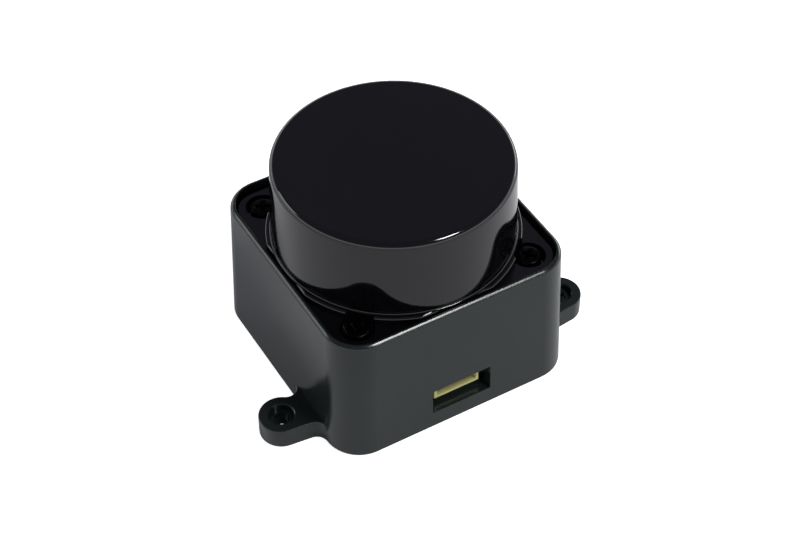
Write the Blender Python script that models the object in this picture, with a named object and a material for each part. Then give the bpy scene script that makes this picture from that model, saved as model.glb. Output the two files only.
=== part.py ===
"""Compact 360 degree lidar scanner module, modelled as an assembly.

Frame: origin on the scan axis at the underside, +Z up, metres.  The cable socket looks along -Y,
two screw ears stand on +X and -X and a third one on +Y.
"""
import math

import bmesh
import bpy
from mathutils import Matrix, Vector

for old_object in list(bpy.data.objects):
    bpy.data.objects.remove(old_object)

MM = 0.001

# ---- Driving sizes, millimetres ----------------------------------------------------------------
GAP = 0.3                    # air left between neighbouring pieces
BODY_WIDTH = 38.59           # square base at the table
BODY_DRAFT = 0.555           # each side leans in by this much up to the rim
BODY_CORNER = 5.4            # radius of the upright corners
RIM_HEIGHT = 21.8
RIM_LIP = 0.75               # thin lip that frames the deck
WALL = 2.2                   # wall of the base housing at the table
OVERALL_HEIGHT = 34.8

DECK_RECESS = 0.95           # deck lies this far under the rim
DECK_THICK = 1.8
CUP_INSET = 0.085            # foot of the cup lies this far inside the deck's edge
CUP_DRAFT = 0.36             # radius lost between foot and top
CUP_WALL = 1.2
CUP_TOP_THICK = 1.4
CUP_EDGE_ROUND = 0.75
FOOT_RING_STEP = 0.8         # step ring stands this far out from the cup
FOOT_RING_HEIGHT = 1.15

SCREW_WELL_RADIUS = 2.5      # round wells in the deck, centred in the rounded corners
SCREW_WELL_DEPTH = 1.2

EAR_STAND_OFF = 4.405        # an ear's hole outside the wall's foot
EAR_SETBACK = 8.7            # side ears sit this far towards the socket
EAR_RADIUS = 3.3
EAR_HEIGHT = 3.4
EAR_FILLET = 1.6
EAR_FLARE = 6.0              # degrees a side ear widens by towards the wall, on the socket's side
EAR_HOLE_RADIUS = 1.15
EAR_SEAT_RADIUS = 1.85
EAR_SEAT_DEPTH = 1.5

SOCKET_WIDTH = 9.6           # opening in the wall for the plug
SOCKET_FLOOR = 0.9            # opening reaches this far under the header
SOCKET_AIR = 0.1             # and this far over it
PIN_PITCH = 1.5
PIN_COUNT = 4
HEADER_SIDE = 1.5            # plastic outside the last pin
HEADER_HEIGHT = 3.4
HEADER_DEPTH = 5.8
HEADER_SHELL = 0.5
HEADER_RECESS = 1.6          # header's mouth behind the outer face

COVER_THICK = 1.4
BOARD_RISE = 1.2             # bottom cover to the control board
BOARD_THICK = 1.0
MOTOR_PLATE_BOTTOM = 8.2
MOTOR_PLATE_THICK = 1.2

SHAFT_RADIUS = 2.0
SHAFT_BORE = 1.0             # light of the data link passes here
BALL_RADIUS = 0.5
BALL_COUNT = 7
RACE_THICK = 0.6
BEARING_HEIGHT = 2.6
SLEEVE_WALL = 0.7
STATOR_TEETH = 9
AIR_GAP = 0.5                # stator to magnet ring
MAGNET_THICK = 1.3
YOKE_THICK = 0.8
COIL_RING_WIDTH = 1.2        # power coils around the motor
PLATFORM_THICK = 1.4
PLATFORM_RIM = 0.7           # platform's edge inside the encoder's tooth roots
SENSOR_WALL = 0.495
SENSOR_SLOT_AIR = 0.4
ENCODER_TOOTH = 1.0
ENCODER_TEETH = 24
ENCODER_THICK = 0.6

HEAD_ROOM = 2.4              # air between the optics and the cup's ceiling
EMITTER_OFFSET = -6.2
EMITTER_LENS_RADIUS = 3.1
RECEIVER_OFFSET = 4.0
RECEIVER_LENS_RADIUS = 4.8
OPTICS_FRONT = -8.5
OPTICS_BACK = 1.5

# ---- Heights and radii that follow -------------------------------------------------------------
HALF_FOOT = BODY_WIDTH / 2
EAR_REACH = HALF_FOOT + EAR_STAND_OFF
HALF_RIM = HALF_FOOT - BODY_DRAFT
HALF_CAVITY = HALF_FOOT - WALL
CAVITY_CORNER = BODY_CORNER - WALL
DECK_TOP = RIM_HEIGHT - DECK_RECESS
DECK_BOTTOM = DECK_TOP - DECK_THICK
LEDGE = DECK_BOTTOM - GAP
HALF_POCKET = HALF_RIM - RIM_LIP
POCKET_CORNER = BODY_CORNER - RIM_LIP
POST_OFFSET = HALF_FOOT - BODY_CORNER
POST_RADIUS = SCREW_WELL_RADIUS + 0.1
CUP_FOOT_RADIUS = HALF_POCKET - GAP - CUP_INSET
CUP_TOP_RADIUS = CUP_FOOT_RADIUS - CUP_DRAFT
FOOT_RING_RADIUS = CUP_FOOT_RADIUS + FOOT_RING_STEP
POSTS = [(sx * POST_OFFSET, sy * POST_OFFSET) for sx in (-1, 1) for sy in (-1, 1)]

BOARD_BOTTOM = COVER_THICK + BOARD_RISE
BOARD_TOP = BOARD_BOTTOM + BOARD_THICK
HEADER_BOTTOM = BOARD_TOP + GAP
HEADER_TOP = HEADER_BOTTOM + HEADER_HEIGHT
SOCKET_BOTTOM = HEADER_BOTTOM - SOCKET_FLOOR
SOCKET_TOP = HEADER_TOP + SOCKET_AIR
PLATE_TOP = MOTOR_PLATE_BOTTOM + MOTOR_PLATE_THICK
LUG_BOTTOM = BOARD_TOP + GAP
LUG_TOP = MOTOR_PLATE_BOTTOM - GAP
LUG_REACH = 3.0
LUG_HALF = 2.4
LUG_SCREW = HALF_CAVITY - 1.6
PLATE_SCREW_HEAD = 1.2

INNER_RACE = SHAFT_RADIUS + GAP
BALL_PATH = INNER_RACE + RACE_THICK + GAP + BALL_RADIUS
OUTER_RACE = BALL_PATH + BALL_RADIUS + GAP
SLEEVE_BORE = OUTER_RACE + RACE_THICK + GAP
SLEEVE_RADIUS = SLEEVE_BORE + SLEEVE_WALL
SLEEVE_LIP = 0.6
PLATFORM_BOTTOM = PLATE_TOP + 4.7
PLATFORM_TOP = PLATFORM_BOTTOM + PLATFORM_THICK
SLEEVE_TOP = PLATFORM_BOTTOM - 0.5
UPPER_BEARING = SLEEVE_TOP - 0.2 - BEARING_HEIGHT
LOWER_BEARING = UPPER_BEARING - 2.3 - BEARING_HEIGHT
SLEEVE_BOTTOM = LOWER_BEARING - GAP - SLEEVE_LIP
ROTOR_BOTTOM = PLATE_TOP + 1.0
COIL_OUTER = LUG_SCREW - PLATE_SCREW_HEAD - GAP
COIL_INNER = COIL_OUTER - COIL_RING_WIDTH
YOKE_OUTER = COIL_INNER - GAP
YOKE_INNER = YOKE_OUTER - YOKE_THICK
MAGNET_OUTER = YOKE_INNER - GAP
MAGNET_INNER = MAGNET_OUTER - MAGNET_THICK
STATOR_RADIUS = MAGNET_INNER - AIR_GAP
ENCODER_RADIUS = HALF_CAVITY - GAP - SENSOR_WALL - SENSOR_SLOT_AIR
PLATFORM_RADIUS = ENCODER_RADIUS - ENCODER_TOOTH - PLATFORM_RIM
ENCODER_BOTTOM = PLATFORM_TOP + GAP
ENCODER_TOP = ENCODER_BOTTOM + ENCODER_THICK
HEAD_BOARD_BOTTOM = ENCODER_TOP + 0.5
HEAD_BOARD_TOP = HEAD_BOARD_BOTTOM + 1.0
FLANGE_BOTTOM = HEAD_BOARD_TOP + GAP
FLANGE_TOP = FLANGE_BOTTOM + 1.4
FLANGE_RADIUS = PLATFORM_RADIUS - 0.7
HEAD_SCREW_CIRCLE = FLANGE_RADIUS - 1.3
OPTICS_HALF_WIDTH = HEAD_SCREW_CIRCLE - 1.8
OPTICS_TOP = OVERALL_HEIGHT - CUP_TOP_THICK - HEAD_ROOM
LENS_HEIGHT = (FLANGE_TOP + OPTICS_TOP) / 2
HEAD_SCREWS = [(HEAD_SCREW_CIRCLE, 0.0), (-HEAD_SCREW_CIRCLE, 0.0), (0.0, -HEAD_SCREW_CIRCLE)]

# ---- Materials: colour, roughness, metallic ----------------------------------------------------
FINISHES = {
    "housing_black": ((0.012, 0.013, 0.013), 0.42, 0.0),
    "smoked_window": ((0.006, 0.006, 0.008), 0.06, 0.0),
    "screw_black": ((0.02, 0.02, 0.022), 0.38, 0.9),
    "header_ivory": ((0.62, 0.58, 0.36), 0.5, 0.0),
    "tinned_pin": ((0.75, 0.74, 0.7), 0.28, 1.0),
    "board_black": ((0.012, 0.02, 0.016), 0.4, 0.0),
    "plate_aluminium": ((0.72, 0.73, 0.74), 0.35, 1.0),
    "bearing_steel": ((0.66, 0.67, 0.69), 0.18, 1.0),
    "sleeve_brass": ((0.72, 0.53, 0.25), 0.28, 1.0),
    "core_steel": ((0.3, 0.31, 0.33), 0.45, 1.0),
    "coil_copper": ((0.72, 0.33, 0.15), 0.3, 1.0),
    "magnet_grey": ((0.16, 0.16, 0.17), 0.5, 0.5),
    "chip_black": ((0.02, 0.02, 0.02), 0.55, 0.0),
    "lens_glass": ((0.5, 0.45, 0.6), 0.04, 0.0),
    "optics_black": ((0.015, 0.015, 0.015), 0.7, 0.0),
}


def finish(name):
    """The Principled material of one finish, made once."""
    material = bpy.data.materials.get(name)
    if material is None:
        colour, roughness, metallic = FINISHES[name]
        material = bpy.data.materials.new(name)
        material.use_nodes = True
        shader = material.node_tree.nodes["Principled BSDF"]
        shader.inputs["Base Color"].default_value = (*colour, 1.0)
        shader.inputs["Roughness"].default_value = roughness
        shader.inputs["Metallic"].default_value = metallic
    return material


# ---- Outlines ----------------------------------------------------------------------------------
def circle(radius, segments, centre=(0.0, 0.0)):
    step = math.tau / segments
    return [(centre[0] + radius * math.cos(step * i), centre[1] + radius * math.sin(step * i))
            for i in range(segments)]


def arc(centre, radius, start, end, steps):
    """Points from angle start to angle end in degrees, both ends included."""
    angles = [math.radians(start + (end - start) * i / steps) for i in range(steps + 1)]
    return [(centre[0] + radius * math.cos(a), centre[1] + radius * math.sin(a)) for a in angles]


def rounded_square(half, radius, steps=8):
    inner = half - radius
    points = []
    for quarter, (sx, sy) in enumerate(((1, 1), (-1, 1), (-1, -1), (1, -1))):
        points += arc((sx * inner, sy * inner), radius, 90 * quarter, 90 * quarter + 90, steps)
    return points


def rectangle(x0, y0, x1, y1):
    return [(x0, y0), (x1, y0), (x1, y1), (x0, y1)]


def relieved_square(half, clearance=GAP):
    """Square outline whose corners are cut away around the four screw posts."""
    relief = POST_RADIUS + clearance
    low = POST_OFFSET - relief
    corner = [(half, low)] + arc((POST_OFFSET, POST_OFFSET), relief, 270, 180, 8) + [(low, half)]
    return [point for quarter in range(4) for point in placed(corner, (0, 0), 90 * quarter)]


def placed(outline, centre, degrees):
    """Outline turned about the origin, then moved to centre."""
    turn = Matrix.Rotation(math.radians(degrees), 2)
    return [tuple(turn @ Vector(p) + Vector(centre)) for p in outline]


# ---- Solids ------------------------------------------------------------------------------------
def add_object(name, mesh_builder, finish_name, parent=None, cutter=False):
    """Turn a bmesh in millimetres into an object in metres."""
    bmesh.ops.recalc_face_normals(mesh_builder, faces=mesh_builder.faces)
    bmesh.ops.scale(mesh_builder, vec=(MM, MM, MM), verts=mesh_builder.verts)
    mesh = bpy.data.meshes.new(name)
    mesh_builder.to_mesh(mesh)
    mesh_builder.free()
    mesh.shade_smooth()
    mesh.set_sharp_from_angle(angle=math.radians(35))
    made = bpy.data.objects.new(name, mesh)
    bpy.context.scene.collection.objects.link(made)
    made.parent = parent
    if cutter:
        made.hide_render = True
        made.display_type = "WIRE"
    else:
        mesh.materials.append(finish(finish_name))
    return made


def add_plate(shape, outlines, bottom, top):
    """Upright extrusion of one outline; further outlines are holes."""
    edges = []
    for outline in outlines:
        ring = [shape.verts.new((x, y, bottom)) for x, y in outline]
        edges += [shape.edges.new((ring[i - 1], ring[i])) for i in range(len(ring))]
    filled = bmesh.ops.triangle_fill(shape, use_beauty=True, edges=edges)
    faces = [f for f in filled["geom"] if isinstance(f, bmesh.types.BMFace)]
    raised = bmesh.ops.extrude_face_region(shape, geom=faces, use_keep_orig=True)
    lifted = [v for v in raised["geom"] if isinstance(v, bmesh.types.BMVert)]
    bmesh.ops.translate(shape, vec=(0, 0, top - bottom), verts=lifted)


def add_turned(shape, profile, segments, centre=(0.0, 0.0)):
    """Solid of revolution about the upright through centre; profile is (radius, height)."""
    rings = []
    for radius, height in profile:
        if radius == 0:
            rings.append([shape.verts.new((*centre, height))])
        else:
            rings.append([shape.verts.new((x, y, height)) for x, y in circle(radius, segments, centre)])
    closed = all(radius > 0 for radius, _ in profile)
    pairs = list(zip(rings, rings[1:] + rings[:1])) if closed else list(zip(rings, rings[1:]))
    for lower, upper in pairs:
        for i in range(segments):
            j = (i + 1) % segments
            corners = [lower[i % len(lower)], lower[j % len(lower)],
                       upper[j % len(upper)], upper[i % len(upper)]]
            face = list(dict.fromkeys(corners))
            if len(face) > 2:
                shape.faces.new(face)


def add_skin(shape, levels):
    """Capped skin through (outline, height) levels with equal numbers of points."""
    rings = [[shape.verts.new((x, y, z)) for x, y in outline] for outline, z in levels]
    count = len(rings[0])
    for lower, upper in zip(rings, rings[1:]):
        for i in range(count):
            shape.faces.new((lower[i - 1], lower[i], upper[i], upper[i - 1]))
    shape.faces.new(list(reversed(rings[0])))
    shape.faces.new(rings[-1])


def add_loft(shape, levels):
    """Skin through rounded squares given as (half width, corner radius, height)."""
    add_skin(shape, [(rounded_square(half, radius), z) for half, radius, z in levels])


def add_box(shape, low, high):
    add_plate(shape, [rectangle(low[0], low[1], high[0], high[1])], low[2], high[2])


def plate(name, outlines, bottom, top, finish_name, parent=None):
    shape = bmesh.new()
    add_plate(shape, outlines, bottom, top)
    return add_object(name, shape, finish_name, parent)


def turned(name, profile, finish_name, parent=None, segments=30):
    shape = bmesh.new()
    add_turned(shape, profile, segments)
    return add_object(name, shape, finish_name, parent)


def turned_along_y(name, profile, x, z, finish_name, parent=None, segments=32):
    """Turned piece whose axis lies along Y; profile is (radius, y)."""
    shape = bmesh.new()
    add_turned_along_y(shape, profile, x, z, segments)
    return add_object(name, shape, finish_name, parent)


def add_turned_along_y(shape, profile, x, z, segments=32):
    before = set(shape.verts)
    add_turned(shape, profile, segments)
    fresh = [v for v in shape.verts if v not in before]
    lay_down = Matrix.Translation((x, 0, z)) @ Matrix.Rotation(math.radians(-90), 4, "X")
    bmesh.ops.transform(shape, matrix=lay_down, verts=fresh)


def tube(inner, outer, bottom, top, chamfer=0.0):
    """Profile of a plain ring, with small chamfers on its outer edges."""
    if chamfer == 0:
        return [(inner, bottom), (outer, bottom), (outer, top), (inner, top)]
    return [(inner, bottom), (outer - chamfer, bottom), (outer, bottom + chamfer),
            (outer, top - chamfer), (outer - chamfer, top), (inner, top)]


def block(name, low, high, finish_name, parent=None):
    shape = bmesh.new()
    add_box(shape, low, high)
    return add_object(name, shape, finish_name, parent)


def profile_block(name, profile, half_width, finish_name):
    """Straight extrusion along X of a (y, z) profile, centred on X."""
    shape = bmesh.new()
    sides = [[shape.verts.new((x, y, z)) for y, z in profile] for x in (-half_width, half_width)]
    shape.faces.new(sides[0])
    shape.faces.new(sides[1])
    for i in range(len(profile)):
        shape.faces.new((sides[0][i - 1], sides[0][i], sides[1][i], sides[1][i - 1]))
    return add_object(name, shape, finish_name)


def bake(pattern):
    """Finished mesh of a pattern whose modifiers are done; the pattern and its tools go."""
    tools = [step.object for step in pattern.modifiers]
    graph = bpy.context.evaluated_depsgraph_get()
    mesh = bpy.data.meshes.new_from_object(pattern.evaluated_get(graph))
    for spent in tools + [pattern]:
        bpy.data.objects.remove(spent)
    return mesh


def repeat(name, mesh, places, parent=None, flip=False):
    """One object for each place, all sharing a mesh."""
    for number, place in enumerate(places, 1):
        copy = bpy.data.objects.new(f"{name}_{number}", mesh)
        copy.location = [MM * value for value in place]
        copy.rotation_euler = (math.pi if flip else 0.0, 0.0, 0.0)
        copy.parent = parent
        bpy.context.scene.collection.objects.link(copy)


def combine(target, shape, operation):
    """Boolean of a bmesh with an object; the operand stays as a hidden guide."""
    count = len(target.modifiers)
    tool = add_object(f"{target.name}_tool_{count}", shape, None, cutter=True)
    step = target.modifiers.new(f"{operation.lower()}_{count}", "BOOLEAN")
    step.operation = operation
    step.solver = "EXACT"
    step.object = tool
    return tool


def screws(name, places, head, shank, seat, parent=None, flip=False, segments=10):
    """Pan-head cross-recess screws.  seat is the height of the face under the heads, which point up
    unless flipped.  head is (radius, height), shank is (radius, length)."""
    head_radius, head_height = head
    shank_radius, length = shank
    tip = shank_radius * 0.5
    pattern = turned(name, [(0, -length), (tip, -length), (shank_radius, -length + tip), (shank_radius, 0),
                            (head_radius, 0), (head_radius, head_height * 0.35),
                            (head_radius * 0.86, head_height * 0.8), (head_radius * 0.55, head_height),
                            (0, head_height)], "screw_black", segments=segments)
    arm = head_radius * 0.6
    half = head_radius * 0.13
    cross = [(half, half), (half, arm), (-half, arm), (-half, half), (-arm, half), (-arm, -half),
             (-half, -half), (-half, -arm), (half, -arm), (half, -half), (arm, -half), (arm, half)]
    recess = bmesh.new()
    add_plate(recess, [cross], head_height * 0.4, head_height * 1.4)
    combine(pattern, recess, "DIFFERENCE")
    repeat(name, bake(pattern), [(x, y, seat) for x, y in places], parent, flip)


# ---- Base housing: tapered shell with posts, lugs and three ears --------------------------------
def necked_side():
    """Upper edge of an ear that narrows to a neck, and the angle where its boss begins."""
    x = EAR_FILLET - EAR_STAND_OFF
    y = math.sqrt((EAR_RADIUS + EAR_FILLET) ** 2 - x ** 2)
    touch = math.degrees(math.atan2(y, x))
    return arc((x, y), EAR_FILLET, 180, touch + 180, 5), touch


def flared_side():
    """Upper edge of an ear that widens in a straight line, and the angle where its boss begins."""
    flare = math.radians(EAR_FLARE)
    x = EAR_FILLET - EAR_STAND_OFF
    y = (EAR_RADIUS + EAR_FILLET - x * math.sin(flare)) / math.cos(flare)
    return arc((x, y), EAR_FILLET, 180, 270 - EAR_FLARE, 5), 90 - EAR_FLARE


def ear_outline(upper_side, lower_side):
    """Ear seen from above with its hole at the origin, the wall lying at -X."""
    root = -EAR_STAND_OFF - WALL * 0.5
    upper, upper_touch = upper_side()
    lower, lower_touch = lower_side()
    boss = arc((0, 0), EAR_RADIUS, upper_touch, -lower_touch, 24)
    below = [(x, -y) for x, y in reversed(lower)]
    return [(root, upper[0][1])] + upper + boss[1:-1] + below + [(root, -lower[0][1])]


EARS = {
    "right": ((EAR_REACH, -EAR_SETBACK), 0, ear_outline(necked_side, flared_side)),
    "left": ((-EAR_REACH, -EAR_SETBACK), 180, ear_outline(flared_side, necked_side)),
    "rear": ((0.0, EAR_REACH), 90, ear_outline(necked_side, necked_side)),
}


def post_outline():
    """Screw post in the +X +Y corner, grown into both walls."""
    root = HALF_CAVITY + WALL * 0.25
    bevel = (HALF_CAVITY - CAVITY_CORNER) * 2 + CAVITY_CORNER * math.sqrt(2) + 0.8 - root
    low = POST_OFFSET - POST_RADIUS
    inner = arc((POST_OFFSET, POST_OFFSET), POST_RADIUS, 270, 180, 8)
    return [(root, low)] + inner + [(low, root), (bevel, root), (root, bevel)]


def width_at(height):
    return HALF_FOOT - BODY_DRAFT * height / RIM_HEIGHT


def base_housing():
    shell = bmesh.new()
    edge = 0.25
    line = 1.2
    step = 0.06
    rim = width_at(RIM_HEIGHT)
    add_loft(shell, [(width_at(0) - edge, BODY_CORNER - edge, 0.0),
                     (width_at(edge), BODY_CORNER, edge),
                     (width_at(line), BODY_CORNER, line),
                     (width_at(line) - step, BODY_CORNER, line + step),
                     (width_at(RIM_HEIGHT - edge), BODY_CORNER, RIM_HEIGHT - edge),
                     (rim - edge * 0.3, BODY_CORNER - edge * 0.3, RIM_HEIGHT - edge * 0.3),
                     (rim - edge, BODY_CORNER - edge, RIM_HEIGHT)])
    housing = add_object("base_housing", shell, "housing_black")

    ears = bmesh.new()
    for centre, degrees, outline in EARS.values():
        add_plate(ears, [placed(outline, centre, degrees)], 0.0, EAR_HEIGHT)
    combine(housing, ears, "UNION")

    pocket = bmesh.new()
    add_loft(pocket, [(HALF_CAVITY + 0.4, CAVITY_CORNER + 0.4, -1.0),
                      (HALF_CAVITY + 0.4, CAVITY_CORNER + 0.4, COVER_THICK + GAP),
                      (HALF_CAVITY, CAVITY_CORNER, COVER_THICK + GAP + 0.001),
                      (HALF_CAVITY, CAVITY_CORNER, LEDGE),
                      (HALF_POCKET, POCKET_CORNER, LEDGE + 0.001),
                      (HALF_POCKET, POCKET_CORNER, RIM_HEIGHT + 1.0)])
    combine(housing, pocket, "DIFFERENCE")

    posts = bmesh.new()
    for quarter in range(4):
        add_plate(posts, [placed(post_outline(), (0, 0), 90 * quarter)], COVER_THICK + GAP, LEDGE)
    combine(housing, posts, "UNION")

    lugs = bmesh.new()
    for degrees in (0, 90, 180):
        block = rectangle(HALF_CAVITY - LUG_REACH, -LUG_HALF, HALF_CAVITY + WALL * 0.5, LUG_HALF)
        add_plate(lugs, [placed(block, (0, 0), degrees)], LUG_BOTTOM, LUG_TOP)
    combine(housing, lugs, "UNION")

    holes = bmesh.new()
    for x, y in POSTS:
        add_plate(holes, [circle(1.3, 12, (x, y))], LEDGE - 6.0, LEDGE + 1.0)
        add_plate(holes, [circle(1.3, 12, (x, y))], 0.0, COVER_THICK + GAP + 5.0)
    for x, y in lug_screw_places():
        add_plate(holes, [circle(1.0, 10, (x, y))], LUG_BOTTOM - 1.0, LUG_TOP + 1.0)
    for centre, _, _ in EARS.values():
        add_plate(holes, [circle(EAR_HOLE_RADIUS, 24, centre)], -1.0, EAR_HEIGHT - EAR_SEAT_DEPTH + 0.5)
    combine(housing, holes, "DIFFERENCE")

    seats = bmesh.new()
    for centre, _, _ in EARS.values():
        add_plate(seats, [circle(EAR_SEAT_RADIUS, 24, centre)], EAR_HEIGHT - EAR_SEAT_DEPTH, EAR_HEIGHT + 1.0)
    add_box(seats, (-SOCKET_WIDTH / 2, -HALF_FOOT - 1.0, SOCKET_BOTTOM),
            (SOCKET_WIDTH / 2, -HALF_CAVITY + 0.5, SOCKET_TOP))
    combine(housing, seats, "DIFFERENCE")
    return housing


def lug_screw_places():
    return [(LUG_SCREW, 0.0), (0.0, LUG_SCREW), (-LUG_SCREW, 0.0)]


# ---- Smoked window cover: square deck, foot ring and cup in one moulding ------------------------
def clipped_circle(radius, half, steps=14):
    """Circle whose four sides are cut flat at half."""
    swing = math.degrees(math.acos(half / radius))
    points = []
    for quarter in range(4):
        points += arc((0, 0), radius, 90 * quarter + swing, 90 * quarter + 90 - swing, steps)
    return points


def window_cover():
    half = HALF_POCKET - GAP
    corner = POCKET_CORNER - GAP
    edge = 0.15
    deck = bmesh.new()
    add_loft(deck, [(half, corner, DECK_BOTTOM), (half, corner, DECK_TOP - edge),
                    (half - edge, corner - edge, DECK_TOP)])
    cover = add_object("window_cover", deck, "smoked_window")

    ring = bmesh.new()
    ring_top = DECK_TOP + FOOT_RING_HEIGHT
    ring_half = half - edge
    add_skin(ring, [(clipped_circle(FOOT_RING_RADIUS, ring_half), DECK_TOP - 0.8),
                    (clipped_circle(FOOT_RING_RADIUS, ring_half), ring_top - edge),
                    (clipped_circle(FOOT_RING_RADIUS - edge, ring_half - edge), ring_top)])
    combine(cover, ring, "UNION")

    wells = bmesh.new()
    for place in POSTS:
        add_plate(wells, [circle(SCREW_WELL_RADIUS, 32, place)], DECK_TOP - SCREW_WELL_DEPTH, OVERALL_HEIGHT)
    combine(cover, wells, "DIFFERENCE")

    cup = bmesh.new()
    shoulder = OVERALL_HEIGHT - CUP_EDGE_ROUND
    rounding = arc((CUP_TOP_RADIUS - CUP_EDGE_ROUND, shoulder), CUP_EDGE_ROUND, 0, 90, 6)
    add_turned(cup, [(0, DECK_BOTTOM + 0.2), (CUP_FOOT_RADIUS, DECK_BOTTOM + 0.2),
                     (CUP_FOOT_RADIUS, ring_top)] + rounding + [(0, OVERALL_HEIGHT)], 96)
    combine(cover, cup, "UNION")

    hollow = bmesh.new()
    ceiling = OVERALL_HEIGHT - CUP_TOP_THICK
    foot_inner = CUP_FOOT_RADIUS - CUP_WALL
    top_inner = CUP_TOP_RADIUS - CUP_WALL
    add_turned(hollow, [(0, DECK_BOTTOM - 1.0), (foot_inner, DECK_BOTTOM - 1.0), (foot_inner, DECK_TOP),
                        (top_inner, ceiling - 0.4), (top_inner - 0.4, ceiling), (0, ceiling)], 48)
    combine(cover, hollow, "DIFFERENCE")

    holes = bmesh.new()
    for place in POSTS:
        add_plate(holes, [circle(1.3, 16, place)], DECK_BOTTOM - 1.0, DECK_TOP)
    combine(cover, holes, "DIFFERENCE")


def fasteners():
    """Screws of the window, bottom cover, control board and motor plate."""
    screws("window_screw", POSTS, (1.85, 1.0), (1.0, 4.8), DECK_TOP - SCREW_WELL_DEPTH + GAP, segments=20)
    screws("bottom_screw", POSTS, (1.6, 0.5), (0.7, 4.6), COVER_THICK - 0.5 - GAP, flip=True)
    screws("board_screw", lug_screw_places(), (1.3, 0.5), (0.7, 3.0), BOARD_BOTTOM - GAP, flip=True)
    screws("motor_plate_screw", lug_screw_places(), (PLATE_SCREW_HEAD, 0.8), (0.7, 3.4), PLATE_TOP + GAP)


def bottom_cover():
    half = HALF_CAVITY + 0.4 - GAP
    radius = CAVITY_CORNER + 0.4 - GAP
    holes = [circle(1.0, 12, place) for place in POSTS]
    cover = plate("bottom_cover", [rounded_square(half, radius)] + holes, 0.0, COVER_THICK, "housing_black")
    sinks = bmesh.new()
    for place in POSTS:
        add_plate(sinks, [circle(2.0, 16, place)], -1.0, COVER_THICK - 0.5)
    combine(cover, sinks, "DIFFERENCE")


# ---- Control board with its cable header --------------------------------------------------------
def pin_places():
    return [PIN_PITCH * (i - (PIN_COUNT - 1) / 2) for i in range(PIN_COUNT)]


HEADER_FRONT = -HALF_FOOT + HEADER_RECESS
HEADER_BACK = HEADER_FRONT + HEADER_DEPTH
PIN_HEIGHT = HEADER_BOTTOM + HEADER_HEIGHT / 2
PIN_HALF = 0.25
PIN_DROP = HEADER_BACK + 1.0


def control_board():
    lead_holes = [circle(PIN_HALF * math.sqrt(2) + GAP, 12, (x, PIN_DROP)) for x in pin_places()]
    screw_holes = [circle(1.0, 12, place) for place in lug_screw_places()]
    plate("control_board", [relieved_square(HALF_CAVITY - 0.6)] + lead_holes + screw_holes,
          BOARD_BOTTOM, BOARD_TOP, "board_black")


def connector():
    half = (PIN_COUNT - 1) * PIN_PITCH / 2 + HEADER_SIDE
    body = bmesh.new()
    add_box(body, (-half, HEADER_FRONT, HEADER_BOTTOM), (half, HEADER_BACK, HEADER_TOP))
    header = add_object("cable_header", body, "header_ivory")
    mouth = bmesh.new()
    add_box(mouth, (-half + HEADER_SHELL, HEADER_FRONT - 1.0, HEADER_BOTTOM + HEADER_SHELL),
            (half - HEADER_SHELL, HEADER_BACK - 1.2, HEADER_TOP - HEADER_SHELL))
    combine(header, mouth, "DIFFERENCE")
    slots = bmesh.new()
    reach = PIN_HALF + GAP
    for x in pin_places():
        add_box(slots, (x - reach, HEADER_BACK - 2.0, PIN_HEIGHT - reach),
                (x + reach, HEADER_BACK + 1.0, PIN_HEIGHT + reach))
    combine(header, slots, "DIFFERENCE")

    low = PIN_HEIGHT - PIN_HALF
    high = PIN_HEIGHT + PIN_HALF
    tip = HEADER_FRONT + 1.0
    tail = BOARD_BOTTOM - 0.5
    pattern = profile_block("header_pin", [
        (tip, low), (PIN_DROP - PIN_HALF, low), (PIN_DROP - PIN_HALF, tail), (PIN_DROP + PIN_HALF, tail),
        (PIN_DROP + PIN_HALF, high), (tip, high)], PIN_HALF, "tinned_pin")
    repeat("header_pin", bake(pattern), [(x, 0.0, 0.0) for x in pin_places()])


def board_parts():
    floor = BOARD_TOP + GAP
    block("motor_driver_chip", (-10.0, -6.5, floor), (-6.0, -2.5, floor + 0.9), "chip_black")
    block("controller_chip", (4.5, -5.5, floor), (10.5, 0.5, floor + 1.0), "chip_black")
    block("supply_inductor", (-9.5, 5.0, floor), (-5.5, 9.0, floor + 2.6), "core_steel")
    block("link_receiver", (-0.9, -0.9, floor), (0.9, 0.9, floor + 0.7), "chip_black")


# ---- Motor: plate, bearing sleeve, stator and its coils -----------------------------------------
def motor_plate():
    holes = [circle(SLEEVE_RADIUS + GAP, 30)] + [circle(1.0, 12, place) for place in lug_screw_places()]
    plate("motor_plate", [relieved_square(HALF_CAVITY - 0.4)] + holes, MOTOR_PLATE_BOTTOM, PLATE_TOP,
          "plate_aluminium")


def bearing_sleeve():
    collar_top = MOTOR_PLATE_BOTTOM - GAP
    collar_radius = SLEEVE_RADIUS + 1.6
    turned("bearing_sleeve", [
        (OUTER_RACE, SLEEVE_BOTTOM), (SLEEVE_RADIUS, SLEEVE_BOTTOM), (SLEEVE_RADIUS, collar_top - 1.0),
        (collar_radius, collar_top - 1.0), (collar_radius, collar_top), (SLEEVE_RADIUS, collar_top),
        (SLEEVE_RADIUS, SLEEVE_TOP), (SLEEVE_BORE, SLEEVE_TOP), (SLEEVE_BORE, SLEEVE_BOTTOM + SLEEVE_LIP),
        (OUTER_RACE, SLEEVE_BOTTOM + SLEEVE_LIP)], "sleeve_brass")


STATOR_INNER = SLEEVE_RADIUS + GAP
STATOR_BACK = STATOR_INNER + 1.0
STATOR_BOTTOM = PLATE_TOP + 1.5
STATOR_TOP = PLATFORM_BOTTOM - 1.2
TOOTH_HALF = 0.7
TOOTH_HEAD = 0.8
COIL_WIRE = 0.6              # build-up of the winding on each side of a tooth


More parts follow.
